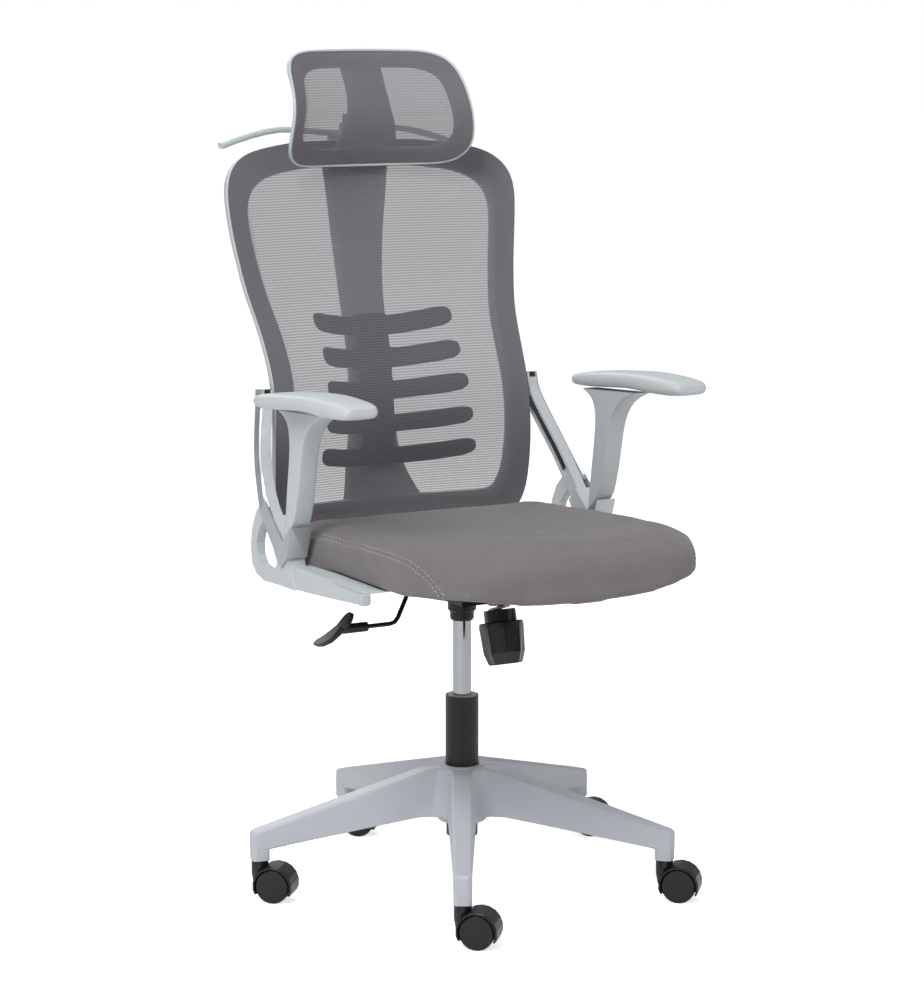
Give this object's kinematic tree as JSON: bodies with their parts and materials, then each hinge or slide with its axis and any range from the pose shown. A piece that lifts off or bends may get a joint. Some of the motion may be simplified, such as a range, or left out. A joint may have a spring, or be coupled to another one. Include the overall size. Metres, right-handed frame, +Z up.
{
  "type": "gaming chair",
  "caption": "Office style gaming chair with a mesh back, lumbar ribs, headrest, fixed T armrests, coat hanger, padded seat and a star base on twin-wheel casters.",
  "frame": {"origin": "on the floor under the middle of the chair's outline", "axes": "+Z up, the sitter faces -Y, the sitter's left is +X"},
  "size_m": [0.6658, 0.8014, 1.239],
  "materials": {
    "base_nylon": "satin moulded nylon",
    "light_grey_nylon": "satin moulded nylon",
    "arm_pad": "soft satin polyurethane skin",
    "dark_grey_nylon": "fine moulded texture",
    "black_nylon": "fine moulded texture",
    "black_gloss": "polished moulding",
    "wheel_nylon": "smooth nylon",
    "black_paint": "black powder coat",
    "steel": "zinc plated",
    "chrome": "polished",
    "silver_trim": "satin silver paint",
    "mesh": "elastic mesh with horizontal threads",
    "seat_fabric": "fine woven upholstery"
  },
  "bodies": {
    "base": {"base_star": "base_nylon", "gas_outer_tube": "black_paint", "guide_bushing": "light_grey_nylon", "thrust_bearing": "steel"},
    "piston": {"piston_rod": "steel", "retaining_clip": "steel"},
    "column": {"gas_cylinder": "chrome", "mechanism_housing": "black_paint", "tilt_pin": "steel", "tension_spring": "steel"},
    "valve": {"valve_button": "steel"},
    "lever": {"lever_rod": "black_paint", "lever_paddle": "black_nylon"},
    "seat": {"seat_plate": "black_paint", "tension_bolt": "steel", "seat_pan": "black_nylon", "seat_cushion": "seat_fabric", "side_frame_l": "light_grey_nylon", "side_frame_r": "light_grey_nylon", "trim_l": "silver_trim", "trim_r": "silver_trim", "arm_column_l": "light_grey_nylon", "arm_column_r": "light_grey_nylon", "arm_pad_l": "arm_pad", "arm_pad_r": "arm_pad", "back_frame": "light_grey_nylon", "back_mesh": "mesh", "headrest_guide": "black_nylon", "coat_hanger": "light_grey_nylon"},
    "knob_washer": {"spring_washer": "steel"},
    "knob": {"tension_knob": "black_gloss"},
    "lumbar": {"lumbar_support": "dark_grey_nylon"},
    "headrest_slide": {"headrest_post": "light_grey_nylon"},
    "headrest": {"headrest_frame": "light_grey_nylon", "headrest_mesh": "mesh"},
    "caster_1": {"caster_1_hood": "black_gloss", "caster_1_stem": "steel", "caster_1_axle": "steel"},
    "caster_1_wheel_a": {"caster_1_wheel_a": "wheel_nylon"},
    "caster_1_wheel_b": {"caster_1_wheel_b": "wheel_nylon"},
    "caster_2": {"caster_2_hood": "black_gloss", "caster_2_stem": "steel", "caster_2_axle": "steel"},
    "caster_2_wheel_a": {"caster_2_wheel_a": "wheel_nylon"},
    "caster_2_wheel_b": {"caster_2_wheel_b": "wheel_nylon"},
    "caster_3": {"caster_3_hood": "black_gloss", "caster_3_stem": "steel", "caster_3_axle": "steel"},
    "caster_3_wheel_a": {"caster_3_wheel_a": "wheel_nylon"},
    "caster_3_wheel_b": {"caster_3_wheel_b": "wheel_nylon"},
    "caster_4": {"caster_4_hood": "black_gloss", "caster_4_stem": "steel", "caster_4_axle": "steel"},
    "caster_4_wheel_a": {"caster_4_wheel_a": "wheel_nylon"},
    "caster_4_wheel_b": {"caster_4_wheel_b": "wheel_nylon"},
    "caster_5": {"caster_5_hood": "black_gloss", "caster_5_stem": "steel", "caster_5_axle": "steel"},
    "caster_5_wheel_a": {"caster_5_wheel_a": "wheel_nylon"},
    "caster_5_wheel_b": {"caster_5_wheel_b": "wheel_nylon"}
  },
  "joints": [
    {"name": "seat_swivel", "type": "hinge", "parent": "base", "child": "piston", "pos_m": [0, -0.0268, 0.1], "axis": [0, 0, 1], "continuous": true},
    {"name": "seat_height", "type": "slide", "parent": "piston", "child": "column", "axis": [0, 0, 1], "range_m": [-0.1, 0]},
    {"name": "valve_press", "type": "slide", "parent": "column", "child": "valve", "axis": [0, 0, 1], "range_m": [-0.0044, 0]},
    {"name": "lever_lift", "type": "hinge", "parent": "column", "child": "lever", "pos_m": [-0.034, -0.0268, 0.4642], "axis": [0, 1, 0], "range_deg": [0, 7], "stiffness_Nm_per_rad": 6, "springref_deg": -3.44},
    {"name": "recline", "type": "hinge", "parent": "column", "child": "seat", "pos_m": [0, -0.0668, 0.462], "axis": [-1, 0, 0], "range_deg": [0, 15], "stiffness_Nm_per_rad": 160, "springref_deg": -6.88, "deforming": ["tension_spring"]},
    {"name": "knob_feed", "type": "slide", "parent": "seat", "child": "knob_washer", "axis": [0, 0.2419, 0.9703], "range_m": [-0.0038, 0.0038], "deforming": ["tension_spring"]},
    {"name": "knob_turn", "type": "hinge", "parent": "knob_washer", "child": "knob", "pos_m": [0, -0.1448, 0.421], "axis": [0, 0.2419, 0.9703], "range_deg": [-1080, 1080]},
    {"name": "lumbar_height", "type": "slide", "parent": "seat", "child": "lumbar", "axis": [0, 0, 1], "range_m": [-0.015, 0]},
    {"name": "headrest_height", "type": "slide", "parent": "seat", "child": "headrest_slide", "axis": [0, 0.0797, 0.9968], "range_m": [0, 0.05]},
    {"name": "headrest_tilt", "type": "hinge", "parent": "headrest_slide", "child": "headrest", "pos_m": [0, 0.3152, 1.132], "axis": [-1, 0, 0], "range_deg": [-2, 20]},
    {"name": "caster_1_swivel", "type": "hinge", "parent": "base", "child": "caster_1", "pos_m": [-0.15031, -0.30363, 0.06], "axis": [0, 0, 1], "continuous": true},
    {"name": "caster_1_roll_a", "type": "hinge", "parent": "caster_1", "child": "caster_1_wheel_a", "pos_m": [-0.13238, -0.31959, 0.02519], "axis": [0.6652, 0.7467, 0], "continuous": true},
    {"name": "caster_1_roll_b", "type": "hinge", "parent": "caster_1", "child": "caster_1_wheel_b", "pos_m": [-0.13238, -0.31959, 0.02519], "axis": [0.6652, 0.7467, 0], "continuous": true},
    {"name": "caster_2_swivel", "type": "hinge", "parent": "base", "child": "caster_2", "pos_m": [0.21683, -0.25529, 0.06], "axis": [0, 0, 1], "continuous": true},
    {"name": "caster_2_roll_a", "type": "hinge", "parent": "caster_2", "child": "caster_2_wheel_a", "pos_m": [0.23475, -0.27126, 0.02519], "axis": [0.6652, 0.7467, 0], "continuous": true},
    {"name": "caster_2_roll_b", "type": "hinge", "parent": "caster_2", "child": "caster_2_wheel_b", "pos_m": [0.23475, -0.27126, 0.02519], "axis": [0.6652, 0.7467, 0], "continuous": true},
    {"name": "caster_3_swivel", "type": "hinge", "parent": "base", "child": "caster_3", "pos_m": [0.28431, 0.10881, 0.06], "axis": [0, 0, 1], "continuous": true},
    {"name": "caster_3_roll_a", "type": "hinge", "parent": "caster_3", "child": "caster_3_wheel_a", "pos_m": [0.30223, 0.09285, 0.02519], "axis": [0.6652, 0.7467, 0], "continuous": true},
    {"name": "caster_3_roll_b", "type": "hinge", "parent": "caster_3", "child": "caster_3_wheel_b", "pos_m": [0.30223, 0.09285, 0.02519], "axis": [0.6652, 0.7467, 0], "continuous": true},
    {"name": "caster_4_swivel", "type": "hinge", "parent": "base", "child": "caster_4", "pos_m": [-0.04112, 0.28551, 0.06], "axis": [0, 0, 1], "continuous": true},
    {"name": "caster_4_roll_a", "type": "hinge", "parent": "caster_4", "child": "caster_4_wheel_a", "pos_m": [-0.0232, 0.26954, 0.02519], "axis": [0.6652, 0.7467, 0], "continuous": true},
    {"name": "caster_4_roll_b", "type": "hinge", "parent": "caster_4", "child": "caster_4_wheel_b", "pos_m": [-0.0232, 0.26954, 0.02519], "axis": [0.6652, 0.7467, 0], "continuous": true},
    {"name": "caster_5_swivel", "type": "hinge", "parent": "base", "child": "caster_5", "pos_m": [-0.30973, 0.0306, 0.06], "axis": [0, 0, 1], "continuous": true},
    {"name": "caster_5_roll_a", "type": "hinge", "parent": "caster_5", "child": "caster_5_wheel_a", "pos_m": [-0.2918, 0.01464, 0.02519], "axis": [0.6652, 0.7467, 0], "continuous": true},
    {"name": "caster_5_roll_b", "type": "hinge", "parent": "caster_5", "child": "caster_5_wheel_b", "pos_m": [-0.2918, 0.01464, 0.02519], "axis": [0.6652, 0.7467, 0], "continuous": true}
  ],
  "couplings": [
    {"joint": "knob_feed", "follows": "knob_turn", "m_per_rad": 0.00019894},
    {"joint": "valve_press", "follows": "lever_lift", "m_per_rad": -0.034}
  ]
}
